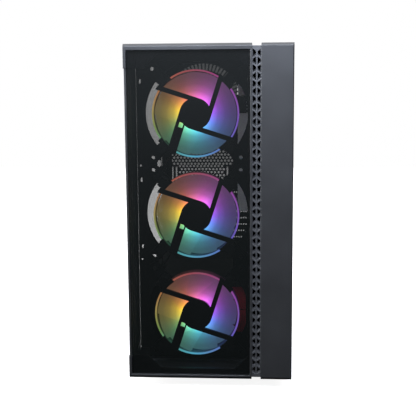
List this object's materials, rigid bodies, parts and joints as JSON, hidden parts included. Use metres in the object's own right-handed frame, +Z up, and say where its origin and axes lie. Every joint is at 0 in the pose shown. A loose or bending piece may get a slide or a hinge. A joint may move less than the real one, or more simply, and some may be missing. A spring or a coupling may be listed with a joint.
{
  "type": "desktop computer tower",
  "caption": "Upright computer case with a tinted glass front over lit intake fans, a perforated groove beside a solid block, glass side panel, and a fitted board and power supply.",
  "frame": {"origin": "on the floor under the middle of the tower, the middle of its bounding box seen from above", "axes": "+Z up, +X to the right of someone facing the front, the front glass faces -Y"},
  "size_m": [0.19, 0.36, 0.398],
  "materials": {
    "frame_plastic": "satin",
    "strip_plastic": "matte",
    "vent_plastic": "matte",
    "tinted_glass": "polished, tinted",
    "fan_plastic": "satin",
    "light_ring": "frosted, lit from inside",
    "light_blades": "frosted, lit from the hub",
    "motor": "enamelled copper wire",
    "bright_steel": "plated",
    "cable_rubber": "matte",
    "painted_steel": "fine texture, satin",
    "foot_rubber": "matte",
    "button_plastic": "satin",
    "board": "solder mask, satin",
    "connector_plastic": "satin",
    "cooler_aluminium": "brushed",
    "memory_spreader": "anodised",
    "caddy_plastic": "dark red, matte",
    "drive_case": "satin",
    "screw_steel": "black, satin",
    "filter_mesh": "woven mesh"
  },
  "bodies": {
    "chassis": {"base_plate": "painted_steel", "board_connectors": "connector_plastic", "board_standoffs": "bright_steel", "control_board": "board", "control_panel": "vent_plastic", "cooler_fan_frame": "fan_plastic", "cooler_heatsink": "cooler_aluminium", "drive_caddies": "caddy_plastic", "drive_cage": "painted_steel", "fan_cables": "cable_rubber", "fan_eyelets": "bright_steel", "fan_frame_1": "fan_plastic", "fan_frame_2": "fan_plastic", "fan_frame_3": "fan_plastic", "fan_ring_1": "light_ring", "fan_ring_2": "light_ring", "fan_ring_3": "light_ring", "fan_stators": "motor", "feet": "foot_rubber", "front_plate": "painted_steel", "front_sockets": "bright_steel", "io_shield": "bright_steel", "memory_modules": "memory_spreader", "motherboard": "board", "motherboard_tray": "painted_steel", "processor": "cooler_aluminium", "psu_circuit": "board", "psu_fan_grille": "bright_steel", "psu_housing": "painted_steel", "psu_inlet": "button_plastic", "psu_shroud": "painted_steel", "rear_panel": "painted_steel", "rear_sockets": "bright_steel", "regulator_heatsink": "cooler_aluminium", "slot_cover_screws": "bright_steel", "slot_covers": "painted_steel", "solid_state_drive": "drive_case", "top_panel": "painted_steel"},
    "front_panel": {"front_base": "frame_plastic", "front_side_cover": "frame_plastic", "front_grille_strip": "strip_plastic", "front_glass": "tinted_glass", "front_side_vent": "vent_plastic"},
    "left_panel": {"left_glass_panel": "tinted_glass", "left_panel_bracket": "painted_steel"},
    "right_panel": {"right_side_panel": "painted_steel"},
    "fan_rotor_lower": {"fan_rotor_1": "light_blades"},
    "fan_rotor_middle": {"fan_rotor_2": "light_blades"},
    "fan_rotor_upper": {"fan_rotor_3": "light_blades"},
    "cooler_rotor": {"cooler_rotor": "fan_plastic"},
    "psu_rotor": {"psu_rotor": "fan_plastic"},
    "power_button": {"power_button": "button_plastic"},
    "reset_button": {"reset_button": "button_plastic"},
    "psu_switch_rocker": {"psu_switch_rocker": "button_plastic"},
    "thumbscrew_left_lower": {"thumbscrew_left_lower": "screw_steel"},
    "thumbscrew_left_upper": {"thumbscrew_left_upper": "screw_steel"},
    "thumbscrew_right_lower": {"thumbscrew_right_lower": "screw_steel"},
    "thumbscrew_right_upper": {"thumbscrew_right_upper": "screw_steel"},
    "top_filter": {"top_dust_filter": "filter_mesh"},
    "psu_filter": {"psu_dust_filter": "filter_mesh"}
  },
  "joints": [
    {"name": "front_panel_pull", "type": "slide", "parent": "chassis", "child": "front_panel", "axis": [0, -1, 0], "range_m": [0, 0.06]},
    {"name": "left_panel_slide", "type": "slide", "parent": "chassis", "child": "left_panel", "axis": [0, 1, 0], "range_m": [0, 0.02]},
    {"name": "right_panel_slide", "type": "slide", "parent": "chassis", "child": "right_panel", "axis": [0, 1, 0], "range_m": [0, 0.02]},
    {"name": "fan_spin_lower", "type": "hinge", "parent": "chassis", "child": "fan_rotor_lower", "pos_m": [-0.0175, -0.13, 0.0795], "axis": [0, 1, 0], "continuous": true},
    {"name": "fan_spin_middle", "type": "hinge", "parent": "chassis", "child": "fan_rotor_middle", "pos_m": [-0.0175, -0.13, 0.1995], "axis": [0, 1, 0], "continuous": true},
    {"name": "fan_spin_upper", "type": "hinge", "parent": "chassis", "child": "fan_rotor_upper", "pos_m": [-0.0175, -0.13, 0.3195], "axis": [0, 1, 0], "continuous": true},
    {"name": "cooler_fan_spin", "type": "hinge", "parent": "chassis", "child": "cooler_rotor", "pos_m": [0.03, 0.077, 0.292], "axis": [1, 0, 0], "continuous": true},
    {"name": "psu_fan_spin", "type": "hinge", "parent": "chassis", "child": "psu_rotor", "pos_m": [-0.004, 0.101, 0.03], "axis": [0, 0, 1], "continuous": true},
    {"name": "power_button_press", "type": "slide", "parent": "chassis", "child": "power_button", "axis": [0, 0, -1], "range_m": [0, 0.0015], "stiffness_N_per_m": 500, "springref_m": -0.001},
    {"name": "reset_button_press", "type": "slide", "parent": "chassis", "child": "reset_button", "axis": [0, 0, -1], "range_m": [0, 0.0015], "stiffness_N_per_m": 500, "springref_m": -0.001},
    {"name": "psu_switch_rock", "type": "hinge", "parent": "chassis", "child": "psu_switch_rocker", "pos_m": [0.046, 0.167, 0.044], "axis": [1, 0, 0], "range_deg": [-16, 0]},
    {"name": "thumbscrew_turn_left_lower", "type": "hinge", "parent": "left_panel", "child": "thumbscrew_left_lower", "pos_m": [-0.0845, 0.176, 0.064], "axis": [0, 1, 0], "continuous": true},
    {"name": "thumbscrew_turn_left_upper", "type": "hinge", "parent": "left_panel", "child": "thumbscrew_left_upper", "pos_m": [-0.0845, 0.176, 0.343], "axis": [0, 1, 0], "continuous": true},
    {"name": "thumbscrew_turn_right_lower", "type": "hinge", "parent": "right_panel", "child": "thumbscrew_right_lower", "pos_m": [0.0845, 0.176, 0.064], "axis": [0, 1, 0], "continuous": true},
    {"name": "thumbscrew_turn_right_upper", "type": "hinge", "parent": "right_panel", "child": "thumbscrew_right_upper", "pos_m": [0.0845, 0.176, 0.343], "axis": [0, 1, 0], "continuous": true},
    {"name": "top_filter_lift", "type": "slide", "parent": "chassis", "child": "top_filter", "axis": [0, 0, 1], "range_m": [0, 0.04]},
    {"name": "psu_filter_slide", "type": "slide", "parent": "chassis", "child": "psu_filter", "axis": [0, 1, 0], "range_m": [0, 0.12]}
  ]
}
